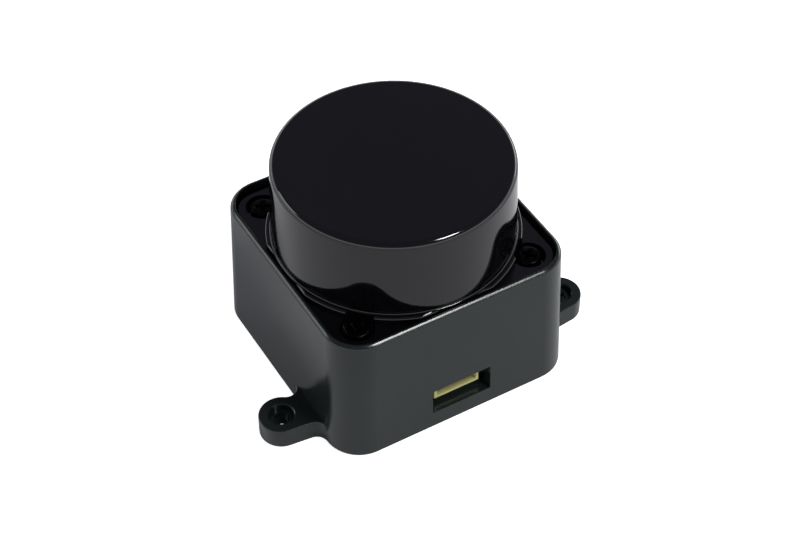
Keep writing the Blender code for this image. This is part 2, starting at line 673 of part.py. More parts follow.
def stator():
    outline = []
    pitch = 360 / STATOR_TEETH
    head_inner = STATOR_RADIUS - TOOTH_HEAD
    for tooth in range(STATOR_TEETH):
        root_swing = math.degrees(math.asin(TOOTH_HALF / STATOR_BACK))
        neck_swing = math.degrees(math.asin(TOOTH_HALF / head_inner))
        spread = pitch * 0.36
        shape = [arc((0, 0), STATOR_BACK, -root_swing, -root_swing, 1)[0]]
        shape += arc((0, 0), head_inner, -neck_swing, -spread, 1)
        shape += arc((0, 0), STATOR_RADIUS, -spread, spread, 5)
        shape += arc((0, 0), head_inner, spread, neck_swing, 1)
        shape += arc((0, 0), STATOR_BACK, root_swing, pitch - root_swing, 3)[:-1]
        outline += placed(shape, (0, 0), pitch * tooth)
    plate("stator_core", [outline, circle(STATOR_INNER, 30)], STATOR_BOTTOM, STATOR_TOP, "core_steel")

    coils = bmesh.new()
    middle = (STATOR_BOTTOM + STATOR_TOP) / 2
    reach = TOOTH_HALF + GAP
    rise = (STATOR_TOP - STATOR_BOTTOM) / 2 + GAP
    window = rectangle(-reach, -rise, reach, rise)
    outside = rectangle(-reach - COIL_WIRE, -rise - COIL_WIRE, reach + COIL_WIRE, rise + COIL_WIRE)
    stand_up = Matrix(((0, 0, 1, 0), (1, 0, 0, 0), (0, 1, 0, middle), (0, 0, 0, 1)))
    for tooth in range(STATOR_TEETH):
        before = set(coils.verts)
        add_plate(coils, [outside, window], STATOR_BACK + GAP, head_inner - GAP)
        fresh = [v for v in coils.verts if v not in before]
        turn = Matrix.Rotation(math.radians(pitch * tooth), 4, "Z")
        bmesh.ops.transform(coils, matrix=turn @ stand_up, verts=fresh)
    lead_bottom = middle - rise - COIL_WIRE + 0.15
    lead = tube(STATOR_BACK + 0.55, STATOR_BACK + 0.85, lead_bottom, lead_bottom + 0.3)
    winding = turned("stator_winding", lead, "coil_copper", segments=36)
    combine(winding, coils, "UNION")
    supply = tube(COIL_INNER, COIL_OUTER, PLATE_TOP + GAP, PLATE_TOP + 1.9)
    turned("supply_coil", supply, "coil_copper", segments=36)


def encoder_sensor():
    """Slotted light barrier; the encoder's teeth run through its slot."""
    inner = -PLATFORM_RADIUS - 0.5
    outer = -HALF_CAVITY + GAP
    slot_end = -ENCODER_RADIUS - SENSOR_SLOT_AIR
    foot = PLATE_TOP + GAP
    top = ENCODER_TOP + 1.2
    profile_block("encoder_sensor", [
        (inner, foot), (inner, ENCODER_BOTTOM - 0.6), (slot_end, ENCODER_BOTTOM - 0.6),
        (slot_end, ENCODER_TOP + 0.5), (inner, ENCODER_TOP + 0.5), (inner, top), (outer, top),
        (outer, foot)], 2.2, "chip_black")


def bearing(label, bottom, inner_parent, ball_parent):
    outer = tube(OUTER_RACE, OUTER_RACE + RACE_THICK, bottom, bottom + BEARING_HEIGHT)
    turned(f"{label}_outer_race", outer, "bearing_steel")
    inner = tube(INNER_RACE, INNER_RACE + RACE_THICK, bottom, bottom + BEARING_HEIGHT)
    turned(f"{label}_inner_race", inner, "bearing_steel", inner_parent)
    middle = bottom + BEARING_HEIGHT / 2
    cage = turned(f"{label}_ball_cage", tube(BALL_PATH - 0.15, BALL_PATH + 0.15, middle - 0.2, middle + 0.2),
                  "bearing_steel", ball_parent, 28)
    balls = bmesh.new()
    for x, y in circle(BALL_PATH, BALL_COUNT):
        bmesh.ops.create_icosphere(balls, subdivisions=2, radius=BALL_RADIUS,
                                   matrix=Matrix.Translation((x, y, middle)))
    combine(cage, balls, "UNION")


# ---- Spinning head ------------------------------------------------------------------------------
def axis_empty(name):
    """Empty on the scan axis that carries the pieces of one moving body."""
    pivot = bpy.data.objects.new(name, None)
    bpy.context.scene.collection.objects.link(pivot)
    return pivot


def screw_holes():
    return [circle(1.0, 12, place) for place in HEAD_SCREWS]


def encoder_outline():
    """Toothed rim; one tooth is missing and marks the zero direction."""
    points = []
    pitch = 360 / ENCODER_TEETH
    valley = ENCODER_RADIUS - ENCODER_TOOTH
    for tooth in range(ENCODER_TEETH):
        middle = pitch * tooth - 90
        crest = valley if tooth == 0 else ENCODER_RADIUS
        points += arc((0, 0), crest, middle - pitch * 0.22, middle + pitch * 0.22, 1)
        points += arc((0, 0), valley, middle + pitch * 0.28, middle + pitch * 0.72, 1)
    return points


def rotor(head):
    turned("rotor_shaft", tube(SHAFT_BORE, SHAFT_RADIUS, LOWER_BEARING - 1.2, ENCODER_BOTTOM - 0.1),
           "bearing_steel", head, 24)
    turned("shaft_clip", tube(SHAFT_RADIUS + GAP, SHAFT_RADIUS + 1.1, LOWER_BEARING - 0.9,
                              LOWER_BEARING - 0.4), "bearing_steel", head, 24)
    plate("rotor_platform", [circle(PLATFORM_RADIUS, 48), circle(SHAFT_RADIUS + GAP, 24)] + screw_holes(),
          PLATFORM_BOTTOM, PLATFORM_TOP, "plate_aluminium", head)
    hang = PLATFORM_BOTTOM - GAP
    turned("magnet_ring", tube(MAGNET_INNER, MAGNET_OUTER, ROTOR_BOTTOM, hang), "magnet_grey", head, 40)
    turned("rotor_yoke", tube(YOKE_INNER, YOKE_OUTER, ROTOR_BOTTOM, hang), "core_steel", head, 40)
    turned("pickup_coil", tube(COIL_INNER, COIL_OUTER, hang - 1.8, hang), "coil_copper", head, 36)
    plate("encoder_disc", [encoder_outline(), circle(8.0, 32)] + screw_holes(), ENCODER_BOTTOM,
          ENCODER_TOP, "optics_black", head)
    plate("head_board", [circle(PLATFORM_RADIUS, 48)] + screw_holes(), HEAD_BOARD_BOTTOM, HEAD_BOARD_TOP,
          "board_black", head)
    block("link_emitter", (-0.8, -0.8, HEAD_BOARD_BOTTOM - 0.9), (0.8, 0.8, HEAD_BOARD_BOTTOM - GAP),
          "lens_glass", head)
    screws("head_screw", HEAD_SCREWS, (1.2, 0.9), (0.7, 5.5), FLANGE_TOP + GAP, head)


EMITTER_BACK_BORE = 1.7
RECEIVER_BACK_BORE = 2.3
LENS_SET_BACK = 0.4
LENS_THICK = 2.2


def optics_frame(head):
    flange = bmesh.new()
    add_plate(flange, [circle(FLANGE_RADIUS, 40)] + screw_holes(), FLANGE_BOTTOM, FLANGE_TOP)
    frame = add_object("optics_frame", flange, "optics_black", head)
    tower = bmesh.new()
    radius = 1.2
    x = OPTICS_HALF_WIDTH - radius
    outline = (arc((x, OPTICS_BACK - radius), radius, 0, 90, 4)
               + arc((-x, OPTICS_BACK - radius), radius, 90, 180, 4)
               + arc((-x, OPTICS_FRONT + radius), radius, 180, 270, 4)
               + arc((x, OPTICS_FRONT + radius), radius, 270, 360, 4))
    add_plate(tower, [outline], FLANGE_BOTTOM + 0.2, OPTICS_TOP)
    combine(frame, tower, "UNION")
    bores = bmesh.new()
    for centre, lens, back in ((EMITTER_OFFSET, EMITTER_LENS_RADIUS, EMITTER_BACK_BORE),
                               (RECEIVER_OFFSET, RECEIVER_LENS_RADIUS, RECEIVER_BACK_BORE)):
        seat = OPTICS_FRONT + LENS_SET_BACK + LENS_THICK + GAP
        add_turned_along_y(bores, [(0, OPTICS_FRONT - 1.0), (lens + GAP, OPTICS_FRONT - 1.0),
                                   (lens + GAP, seat), (lens - 0.5, seat), (back, OPTICS_BACK - 2.4),
                                   (back, OPTICS_BACK + 1.0), (0, OPTICS_BACK + 1.0)], centre, LENS_HEIGHT, 28)
    combine(frame, bores, "DIFFERENCE")


def lens(name, radius, offset, head):
    front = OPTICS_FRONT + LENS_SET_BACK
    bulge = 1.0
    dome = [(radius * i / 5, front + bulge * (i / 5) ** 2) for i in range(6)]
    turned_along_y(name, dome + [(radius, front + LENS_THICK), (0, front + LENS_THICK)], offset,
                   LENS_HEIGHT, "lens_glass", head, 24)


def optics(head):
    optics_frame(head)
    lens("emitter_lens", EMITTER_LENS_RADIUS, EMITTER_OFFSET, head)
    lens("receiver_lens", RECEIVER_LENS_RADIUS, RECEIVER_OFFSET, head)
    board_front = OPTICS_BACK + 2 * GAP
    can = EMITTER_BACK_BORE - GAP
    turned_along_y("laser_diode", [(0, OPTICS_BACK - 2.2), (can * 0.8, OPTICS_BACK - 2.2),
                                   (can * 0.8, OPTICS_BACK - 0.8), (can, OPTICS_BACK - 0.8),
                                   (can, board_front - GAP), (0, board_front - GAP)],
                   EMITTER_OFFSET, LENS_HEIGHT, "sleeve_brass", head, 16)
    chip = (RECEIVER_BACK_BORE - GAP) / math.sqrt(2) - 0.1
    block("light_detector", (RECEIVER_OFFSET - chip, board_front - GAP - 1.2, LENS_HEIGHT - chip),
          (RECEIVER_OFFSET + chip, board_front - GAP, LENS_HEIGHT + chip), "chip_black", head)
    board_foot = FLANGE_TOP + GAP
    half = OPTICS_HALF_WIDTH - 0.6
    board_back = board_front + 1.0
    block("optics_board", (-half, board_front, board_foot), (half, board_back, OPTICS_TOP - 0.6),
          "board_black", head)
    rear = board_back + GAP
    block("signal_processor", (-4.0, rear, LENS_HEIGHT - 3.2), (3.0, rear + 0.9, LENS_HEIGHT + 3.8),
          "chip_black", head)
    weight = arc((0, 0), 12.6, 42, 138, 12) + arc((0, 0), 8.4, 138, 42, 8)
    plate("balance_weight", [weight], board_foot, board_foot + 3.5, "sleeve_brass", head)


# ---- The whole module ---------------------------------------------------------------------------
base_housing()
window_cover()
bottom_cover()
fasteners()
control_board()
connector()
board_parts()
motor_plate()
bearing_sleeve()
stator()
encoder_sensor()
head = axis_empty("scan_head")
bearing("lower_bearing", LOWER_BEARING, head, axis_empty("lower_ball_set"))
bearing("upper_bearing", UPPER_BEARING, head, axis_empty("upper_ball_set"))
rotor(head)
optics(head)
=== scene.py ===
"""Compact 360 degree lidar scanner module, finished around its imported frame."""
import math

import bmesh
import bpy
from mathutils import Matrix, Vector


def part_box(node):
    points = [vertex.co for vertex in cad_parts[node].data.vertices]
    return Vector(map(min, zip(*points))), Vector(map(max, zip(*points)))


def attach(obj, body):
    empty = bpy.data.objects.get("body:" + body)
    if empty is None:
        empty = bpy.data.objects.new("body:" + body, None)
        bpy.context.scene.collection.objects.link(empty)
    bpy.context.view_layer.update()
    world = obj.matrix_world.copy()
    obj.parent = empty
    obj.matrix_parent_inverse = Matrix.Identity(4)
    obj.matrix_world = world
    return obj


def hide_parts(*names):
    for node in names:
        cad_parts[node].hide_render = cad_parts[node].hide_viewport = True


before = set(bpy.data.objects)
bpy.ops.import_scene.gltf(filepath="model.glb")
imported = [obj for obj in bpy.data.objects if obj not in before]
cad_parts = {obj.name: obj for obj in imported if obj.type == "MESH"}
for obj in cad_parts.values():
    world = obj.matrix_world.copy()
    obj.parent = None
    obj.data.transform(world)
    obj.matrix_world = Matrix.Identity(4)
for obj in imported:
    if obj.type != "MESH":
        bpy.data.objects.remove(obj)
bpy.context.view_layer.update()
MM = 0.001

# ---- Camera -------------------------------------------------------------------------------------
# A 90 mm class portrait lens on a tripod, 28 cm from the scanner: 30 degrees to the left of its
# socket and 45 degrees up, aimed at the middle of the body.
camera_data = bpy.data.cameras.new("camera")
camera_data.lens = 87.5
camera_data.sensor_width = 36.0
camera_data.shift_x = 0.0075
camera_data.shift_y = -0.0090
camera = bpy.data.objects.new("camera", camera_data)
bpy.context.scene.collection.objects.link(camera)
bpy.context.scene.camera = camera

AIM = Vector((0.0, 0.0, 15 * MM))
AZIMUTH = math.radians(-29.96)
ELEVATION = math.radians(45.22)
ROLL = math.radians(-0.36)
DISTANCE = 282.2 * MM

back = Vector((math.sin(AZIMUTH) * math.cos(ELEVATION), -math.cos(AZIMUTH) * math.cos(ELEVATION),
               math.sin(ELEVATION)))
right = Vector((math.cos(AZIMUTH), math.sin(AZIMUTH), 0.0))
upward = back.cross(right)
right, upward = (right * math.cos(ROLL) + upward * math.sin(ROLL),
                 upward * math.cos(ROLL) - right * math.sin(ROLL))
turn = Matrix((right, upward, back)).transposed().to_4x4()
camera.matrix_world = Matrix.Translation(AIM + back * DISTANCE) @ turn

# ---- Floor and light ----------------------------------------------------------------------------
# A white sheet, lit from below as well, so the eye sees it evenly white. One soft box hangs at the
# front right and small ones stand at the back left and the right, in a room that is pale low down
# and dark above.
bpy.context.scene.view_settings.view_transform = "Standard"

paper = bpy.data.materials.new("white_sheet")
paper.use_nodes = True
paper_tree = paper.node_tree
paper_shader = paper_tree.nodes["Principled BSDF"]
paper_shader.inputs["Roughness"].default_value = 0.9
paper_shader.inputs["Specular IOR Level"].default_value = 0.1
paper_fibres = paper_tree.nodes.new("ShaderNodeTexNoise")
paper_fibres.inputs["Scale"].default_value = 300.0
paper_tint = paper_tree.nodes.new("ShaderNodeValToRGB")
paper_tint.color_ramp.elements[0].color = (0.91, 0.91, 0.91, 1.0)
paper_tint.color_ramp.elements[1].color = (0.95, 0.95, 0.95, 1.0)
paper_tree.links.new(paper_fibres.outputs["Fac"], paper_tint.inputs["Fac"])
paper_tree.links.new(paper_tint.outputs["Color"], paper_shader.inputs["Base Color"])
paper_eye = paper_tree.nodes.new("ShaderNodeLightPath")
paper_glow = paper_tree.nodes.new("ShaderNodeMath")
paper_glow.operation = "MULTIPLY"
paper_glow.inputs[1].default_value = 0.85
paper_tree.links.new(paper_eye.outputs["Is Camera Ray"], paper_glow.inputs[0])
paper_tree.links.new(paper_glow.outputs["Value"], paper_shader.inputs["Emission Strength"])
paper_shader.inputs["Emission Color"].default_value = (1.0, 1.0, 1.0, 1.0)

sheet = bpy.data.meshes.new("floor")
half_sheet = 3.0
sheet.from_pydata([(-half_sheet, -half_sheet, 0), (half_sheet, -half_sheet, 0),
                   (half_sheet, half_sheet, 0), (-half_sheet, half_sheet, 0)], [], [(0, 1, 2, 3)])
sheet.materials.append(paper)
floor = bpy.data.objects.new("floor", sheet)
floor.location.z = -0.2 * MM
bpy.context.scene.collection.objects.link(floor)

room = bpy.data.worlds.new("dim_room")
room.use_nodes = True
room_tree = room.node_tree
room_place = room_tree.nodes.new("ShaderNodeTexCoord")
room_axes = room_tree.nodes.new("ShaderNodeSeparateXYZ")
room_low = room_tree.nodes.new("ShaderNodeMapRange")
room_low.inputs["From Min"].default_value = 0.42
room_low.inputs["From Max"].default_value = 0.12
room_paint = room_tree.nodes.new("ShaderNodeMix")
room_paint.data_type = "RGBA"
room_paint.inputs["A"].default_value = (0.165, 0.160, 0.205, 1.0)
room_paint.inputs["B"].default_value = (2.15, 2.28, 2.22, 1.0)
room_tree.links.new(room_place.outputs["Generated"], room_axes.inputs["Vector"])
room_tree.links.new(room_axes.outputs["Z"], room_low.inputs["Value"])
room_tree.links.new(room_low.outputs["Result"], room_paint.inputs["Factor"])
room_tree.links.new(room_paint.outputs["Result"], room_tree.nodes["Background"].inputs["Color"])
bpy.context.scene.world = room


def soft_box(name, direction, distance, size, power):
    """Rectangular lamp, so far out in a direction, facing the middle of the table."""
    data = bpy.data.lights.new(name, "AREA")
    data.shape = "RECTANGLE"
    data.size, data.size_y = size
    data.energy = power
    lamp = bpy.data.objects.new(name, data)
    lamp.location = Vector(direction).normalized() * distance
    lamp.rotation_euler = lamp.location.to_track_quat("Z", "Y").to_euler()
    bpy.context.scene.collection.objects.link(lamp)


soft_box("key_box", (0.27, -0.53, 0.80), 0.75, (0.17, 0.13), 3.3)
soft_box("left_box", (-0.62, 0.60, 0.50), 0.60, (0.24, 0.09), 0.36)
soft_box("right_box", (0.93, 0.28, 0.15), 0.65, (0.30, 0.07), 0.30)

# ---- Base housing -----------------------------------------------------------------------------
# One black ABS moulding: square shell with a slight draft, thin rim, three screw ears, four
# corner posts for the window's screws and three inner lugs. Satin from a fine spark-eroded mould.
base_low, base_high = (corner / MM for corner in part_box("base_housing"))
HALF_FOOT = -base_low.y
FOOT_EDGE = 0.3
RIM_TOP = base_high.z
EAR_RADIUS = 3.3
EAR_REACH = base_high.x - EAR_RADIUS
EAR_SETBACK = 8.7
EAR_HEIGHT = 3.4
EAR_EDGE = 0.25
EAR_HOLE = 1.05
EAR_SEAT = 1.85
EAR_SEAT_FLOOR = 2.4
EAR_FILLET = 1.6
EAR_FLARE = 6.0
DRAFT = 0.555
CORNER = 5.4
LIP = 0.75
LIP_EDGE = 0.12
RIM_ROUNDING = ((0.0, 0.50), (0.03, 0.40), (0.09, 0.31), (0.17, 0.22), (0.37, 0.07), (0.44, 0.03),
                (0.50, 0.0))
WALL = 2.2
CORNER_STEPS = 14


def arc(centre, radius, start, end, steps):
    """Points from angle start to angle end in degrees, both ends included."""
    angles = [math.radians(start + (end - start) * i / steps) for i in range(steps + 1)]
    return [(centre[0] + radius * math.cos(a), centre[1] + radius * math.sin(a)) for a in angles]


def rounded_square(half, radius, steps=CORNER_STEPS):
    inner = half - radius
    points = []
    for quarter, (sx, sy) in enumerate(((1, 1), (-1, 1), (-1, -1), (1, -1))):
        points += arc((sx * inner, sy * inner), radius, 90 * quarter, 90 * quarter + 90, steps)
    return points


def placed(outline, centre, degrees):
    spin = Matrix.Rotation(math.radians(degrees), 2)
    return [tuple(spin @ Vector(p) + Vector(centre)) for p in outline]


def add_skin(shape, levels, closed=False):
    """Skin through (outline, height) levels; capped at both ends, or closed on itself."""
    rings = [[shape.verts.new((x, y, z)) for x, y in outline] for outline, z in levels]
    pairs = list(zip(rings, rings[1:]))
    if closed:
        pairs.append((rings[-1], rings[0]))
    for lower, upper in pairs:
        for i in range(len(lower)):
            shape.faces.new((lower[i - 1], lower[i], upper[i], upper[i - 1]))
    if not closed:
        shape.faces.new(list(reversed(rings[0])))
        shape.faces.new(rings[-1])


def add_prism(shape, outline, bottom, top):
    add_skin(shape, [(outline, bottom), (outline, top)])


def add_turned(shape, profile, segments, centre=(0.0, 0.0)):
    """Solid of revolution about the upright through centre, from a (radius, height) profile."""
    rings = []
    for radius, height in profile:
        if radius == 0:
            rings.append([shape.verts.new((*centre, height))])
        else:
            rings.append([shape.verts.new((x, y, height))
                          for x, y in arc(centre, radius, 0, 360 - 360 / segments, segments - 1)])
    pairs = list(zip(rings, rings[1:]))
    if all(radius > 0 for radius, _ in profile):
        pairs.append((rings[-1], rings[0]))
    for lower, upper in pairs:
        for i in range(segments):
            j = (i + 1) % segments
            corners = [lower[i % len(lower)], lower[j % len(lower)],
                       upper[j % len(upper)], upper[i % len(upper)]]
            face = list(dict.fromkeys(corners))
            if len(face) > 2:
                shape.faces.new(face)


def make_piece(name, shape, material=None):
    """Object in metres from a bmesh in millimetres."""
    bmesh.ops.recalc_face_normals(shape, faces=shape.faces)
    bmesh.ops.scale(shape, vec=(MM, MM, MM), verts=shape.verts)
    mesh = bpy.data.meshes.new(name)
    shape.to_mesh(mesh)
    shape.free()
    piece = bpy.data.objects.new(name, mesh)
    bpy.context.scene.collection.objects.link(piece)
    if material:
        mesh.materials.append(material)
    return piece


def settle(piece):
    """Turn a piece's modifiers into its mesh."""
    graph = bpy.context.evaluated_depsgraph_get()
    mesh = bpy.data.meshes.new_from_object(piece.evaluated_get(graph))
    piece.modifiers.clear()
    piece.data = mesh


def combine(piece, shape, operation, bevel=0.0):
    """Join a bmesh to a piece or cut it away; bevel first rounds the operand's own edges."""
    tool = make_piece("tool", shape)
    if bevel:
        round_edges(tool, bevel)
        settle(tool)
    step = piece.modifiers.new("combine", "BOOLEAN")
    step.operation = operation
    step.solver = "EXACT"
    step.object = tool
    settle(piece)
    bpy.data.objects.remove(tool)


def round_edges(piece, width, segments=3, angle=40):
    step = piece.modifiers.new("round", "BEVEL")
    step.width = width * MM
    step.segments = segments
    step.limit_method = "ANGLE"
    step.angle_limit = math.radians(angle)
    step.use_clamp_overlap = True


def smooth(piece, angle=32):
    """Smooth shading that keeps large faces flat."""
    piece.data.shade_smooth()
    piece.data.set_sharp_from_angle(angle=math.radians(angle))
    step = piece.modifiers.new("even_normals", "WEIGHTED_NORMAL")
    step.keep_sharp = True
    step.weight = 60


def group_socket(group, name, kind, direction, value=None):
    socket = group.interface.new_socket(name=name, in_out=direction, socket_type=kind)
    if value is not None:
        socket.default_value = value


def moulded_grain_group():
    """Height of a fine eroded mould texture, and a slow patchiness, on object coordinates."""
    group = bpy.data.node_groups.new("moulded_grain", "ShaderNodeTree")
    group_socket(group, "Scale", "NodeSocketFloat", "INPUT", 9000.0)
    group_socket(group, "Patch Scale", "NodeSocketFloat", "INPUT", 60.0)
    group_socket(group, "Height", "NodeSocketFloat", "OUTPUT")
    group_socket(group, "Patches", "NodeSocketFloat", "OUTPUT")
    nodes, links = group.nodes, group.links
    entry = nodes.new("NodeGroupInput")
    result = nodes.new("NodeGroupOutput")
    place = nodes.new("ShaderNodeTexCoord")
    fine = nodes.new("ShaderNodeTexNoise")
    fine.inputs["Detail"].default_value = 3.0
    slow = nodes.new("ShaderNodeTexNoise")
    slow.inputs["Detail"].default_value = 4.0
    slow.inputs["Roughness"].default_value = 0.6
    links.new(place.outputs["Object"], fine.inputs["Vector"])
    links.new(place.outputs["Object"], slow.inputs["Vector"])
    links.new(entry.outputs["Scale"], fine.inputs["Scale"])
    links.new(entry.outputs["Patch Scale"], slow.inputs["Scale"])
    links.new(fine.outputs["Fac"], result.inputs["Height"])
    links.new(slow.outputs["Fac"], result.inputs["Patches"])
    return group


GRAIN = moulded_grain_group()


def new_material(name):
    material = bpy.data.materials.new(name)
    material.use_nodes = True
    tree = material.node_tree
    return material, tree, tree.nodes["Principled BSDF"]


def mapped(tree, source, low, high, from_low=0.3, from_high=0.7):
    """Value of a socket carried into a new range."""
    node = tree.nodes.new("ShaderNodeMapRange")
    node.inputs["From Min"].default_value = from_low
    node.inputs["From Max"].default_value = from_high
    node.inputs["To Min"].default_value = low
    node.inputs["To Max"].default_value = high
    tree.links.new(source, node.inputs["Value"])
    return node.outputs["Result"]


def two_colours(tree, source, dark, light):
    ramp = tree.nodes.new("ShaderNodeValToRGB")
    ramp.color_ramp.elements[0].position = 0.3
    ramp.color_ramp.elements[0].color = (*dark, 1.0)
    ramp.color_ramp.elements[1].position = 0.7
    ramp.color_ramp.elements[1].color = (*light, 1.0)
    tree.links.new(source, ramp.inputs["Fac"])
    return ramp.outputs["Color"]


def bumped(tree, shader, height, distance, strength=1.0):
    node = tree.nodes.new("ShaderNodeBump")
    node.inputs["Distance"].default_value = distance
    node.inputs["Strength"].default_value = strength
    tree.links.new(height, node.inputs["Height"])
    tree.links.new(node.outputs["Normal"], shader.inputs["Normal"])


def moulded_plastic(name, dark, light, roughness, grain=9000.0, depth=0.000004):
    material, tree, shader = new_material(name)
    texture = tree.nodes.new("ShaderNodeGroup")
    texture.node_tree = GRAIN
    texture.inputs["Scale"].default_value = grain
    tree.links.new(two_colours(tree, texture.outputs["Patches"], dark, light), shader.inputs["Base Color"])
    rough = mapped(tree, texture.outputs["Patches"], roughness[0], roughness[1])
    tree.links.new(rough, shader.inputs["Roughness"])
    bumped(tree, shader, texture.outputs["Height"], depth)
    return material


HOUSING_BLACK = moulded_plastic("housing_black", (0.0065, 0.0095, 0.009), (0.0085, 0.0125, 0.0115),
                                (0.20, 0.25))
HOUSING_BLACK.node_tree.nodes["Principled BSDF"].inputs["IOR"].default_value = 1.42


def necked_side(stand_off):
    """Upper edge of an ear that narrows to a neck, and the angle where its boss begins."""
    x = EAR_FILLET - stand_off
    y = math.sqrt((EAR_RADIUS + EAR_FILLET) ** 2 - x ** 2)
    touch = math.degrees(math.atan2(y, x))
    return arc((x, y), EAR_FILLET, 180, touch + 180, 12), touch


def flared_side(stand_off):
    """Upper edge of an ear that widens in a straight line, and the angle where its boss begins."""
    lean = math.radians(EAR_FLARE)
    x = EAR_FILLET - stand_off
    y = (EAR_RADIUS + EAR_FILLET - x * math.sin(lean)) / math.cos(lean)
    return arc((x, y), EAR_FILLET, 180, 270 - EAR_FLARE, 12), 90 - EAR_FLARE


def ear_outline(upper_side, lower_side):
    """Ear seen from above, its hole at the origin and the wall at -X."""
    stand_off = EAR_REACH - HALF_FOOT
    root = -stand_off - WALL * 0.5
    upper, upper_touch = upper_side(stand_off)
    lower, lower_touch = lower_side(stand_off)
    boss = arc((0, 0), EAR_RADIUS, upper_touch, -lower_touch, 56)
    below = [(x, -y) for x, y in reversed(lower)]
    return [(root, upper[0][1])] + upper + boss[1:-1] + below + [(root, -lower[0][1])]


EARS = (((EAR_REACH, -EAR_SETBACK), 0, ear_outline(necked_side, flared_side)),
        ((-EAR_REACH, -EAR_SETBACK), 180, ear_outline(flared_side, necked_side)),
        ((0.0, EAR_REACH), 90, ear_outline(necked_side, necked_side)))
HALF_RIM = HALF_FOOT - DRAFT
HALF_POCKET = HALF_RIM - LIP
HALF_CAVITY = HALF_FOOT - WALL
CAVITY_CORNER = CORNER - WALL
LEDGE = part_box("window_cover")[0].z / MM - 0.3
REBATE = 0.4
REBATE_TOP = 1.7
POST = HALF_FOOT - CORNER
POSTS = [(sx * POST, sy * POST) for sx in (-1, 1) for sy in (-1, 1)]


def housing_levels():
    """Outlines round the wall: up the outside, over the rim, down the pocket and the cavity."""
    levels = [(rounded_square(HALF_CAVITY + REBATE, CAVITY_CORNER + REBATE), 0.0)]
    levels += [(rounded_square(HALF_FOOT - FOOT_EDGE + x, CORNER - FOOT_EDGE + x), FOOT_EDGE + z)
               for x, z in arc((0, 0), FOOT_EDGE, 270, 360, 4)]
    levels += [(rounded_square(HALF_RIM - inset, CORNER - inset), RIM_TOP - drop)
               for inset, drop in RIM_ROUNDING]
    levels += [(rounded_square(HALF_POCKET + LIP_EDGE + x, CORNER - LIP + LIP_EDGE + x),
                RIM_TOP - LIP_EDGE + z)
               for x, z in arc((0, 0), LIP_EDGE, 90, 180, 4)]
    levels += [(rounded_square(HALF_POCKET, CORNER - LIP), LEDGE),
               (rounded_square(HALF_CAVITY, CAVITY_CORNER), LEDGE),
               (rounded_square(HALF_CAVITY, CAVITY_CORNER), REBATE_TOP),
               (rounded_square(HALF_CAVITY + REBATE, CAVITY_CORNER + REBATE), REBATE_TOP)]
    return levels


shell = bmesh.new()
add_skin(shell, housing_levels(), closed=True)
housing = make_piece("housing_shell", shell, HOUSING_BLACK)

ears = bmesh.new()
for centre, degrees, outline in EARS:
    add_prism(ears, placed(outline, centre, degrees), 0.0, EAR_HEIGHT)
combine(housing, ears, "UNION", bevel=EAR_EDGE)

POST_RADIUS = 2.6
POST_HOLE = 1.3
LUG_REACH = 3.0
LUG_HALF = 2.4
LUG_LOW, LUG_HIGH = 3.9, 7.9
LUG_HOLE = 1.0
LUG_SCREW = HALF_CAVITY - 1.6
inner = bmesh.new()
post_root = HALF_CAVITY + WALL * 0.25
post_bevel = (HALF_CAVITY - CAVITY_CORNER) * 2 + CAVITY_CORNER * math.sqrt(2) + 0.8 - post_root
post = ([(post_root, POST - POST_RADIUS)] + arc((POST, POST), POST_RADIUS, 270, 180, 10)
        + [(POST - POST_RADIUS, post_root), (post_bevel, post_root), (post_root, post_bevel)])
for quarter in range(4):
    add_prism(inner, placed(post, (0, 0), 90 * quarter), REBATE_TOP, LEDGE)
lug_root = HALF_CAVITY + WALL / 2
lug = [(HALF_CAVITY - LUG_REACH, -LUG_HALF), (lug_root, -LUG_HALF), (lug_root, LUG_HALF),
       (HALF_CAVITY - LUG_REACH, LUG_HALF)]
for degrees in (0, 90, 180):
    add_prism(inner, placed(lug, (0, 0), degrees), LUG_LOW, LUG_HIGH)
combine(housing, inner, "UNION")


def add_hole(shape, radius, bottom, top, segments, centre):
    add_turned(shape, [(0, bottom), (radius, bottom), (radius, top), (0, top)], segments, centre)


holes = bmesh.new()
for centre, _, _ in EARS:
    add_turned(holes, [(0, -1), (EAR_HOLE, -1), (EAR_HOLE, EAR_SEAT_FLOOR), (EAR_SEAT, EAR_SEAT_FLOOR),
                       (EAR_SEAT, EAR_HEIGHT - 0.15), (EAR_SEAT + 0.35, EAR_HEIGHT + 0.2),
                       (EAR_SEAT + 0.35, EAR_HEIGHT + 1.1), (0, EAR_HEIGHT + 1.1)], 48, centre)
for place in POSTS:
    add_hole(holes, POST_HOLE, LEDGE - 6, LEDGE + 1, 24, place)
    add_hole(holes, POST_HOLE, 0.5, 6.7, 24, place)
for place in ((LUG_SCREW, 0), (0, LUG_SCREW), (-LUG_SCREW, 0)):
    add_hole(holes, LUG_HOLE, 3, 9, 20, place)
combine(housing, holes, "DIFFERENCE")

SOCKET_HALF = 4.8
SOCKET_LOW, SOCKET_HIGH = 3.0, 7.4
opening = bmesh.new()
front = [(-SOCKET_HALF, -HALF_FOOT - 1), (SOCKET_HALF, -HALF_FOOT - 1), (SOCKET_HALF, -HALF_CAVITY + 0.5),
         (-SOCKET_HALF, -HALF_CAVITY + 0.5)]
add_prism(opening, front, SOCKET_LOW, SOCKET_HIGH)
combine(housing, opening, "DIFFERENCE")
smooth(housing)
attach(housing, "base")
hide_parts("base_housing")

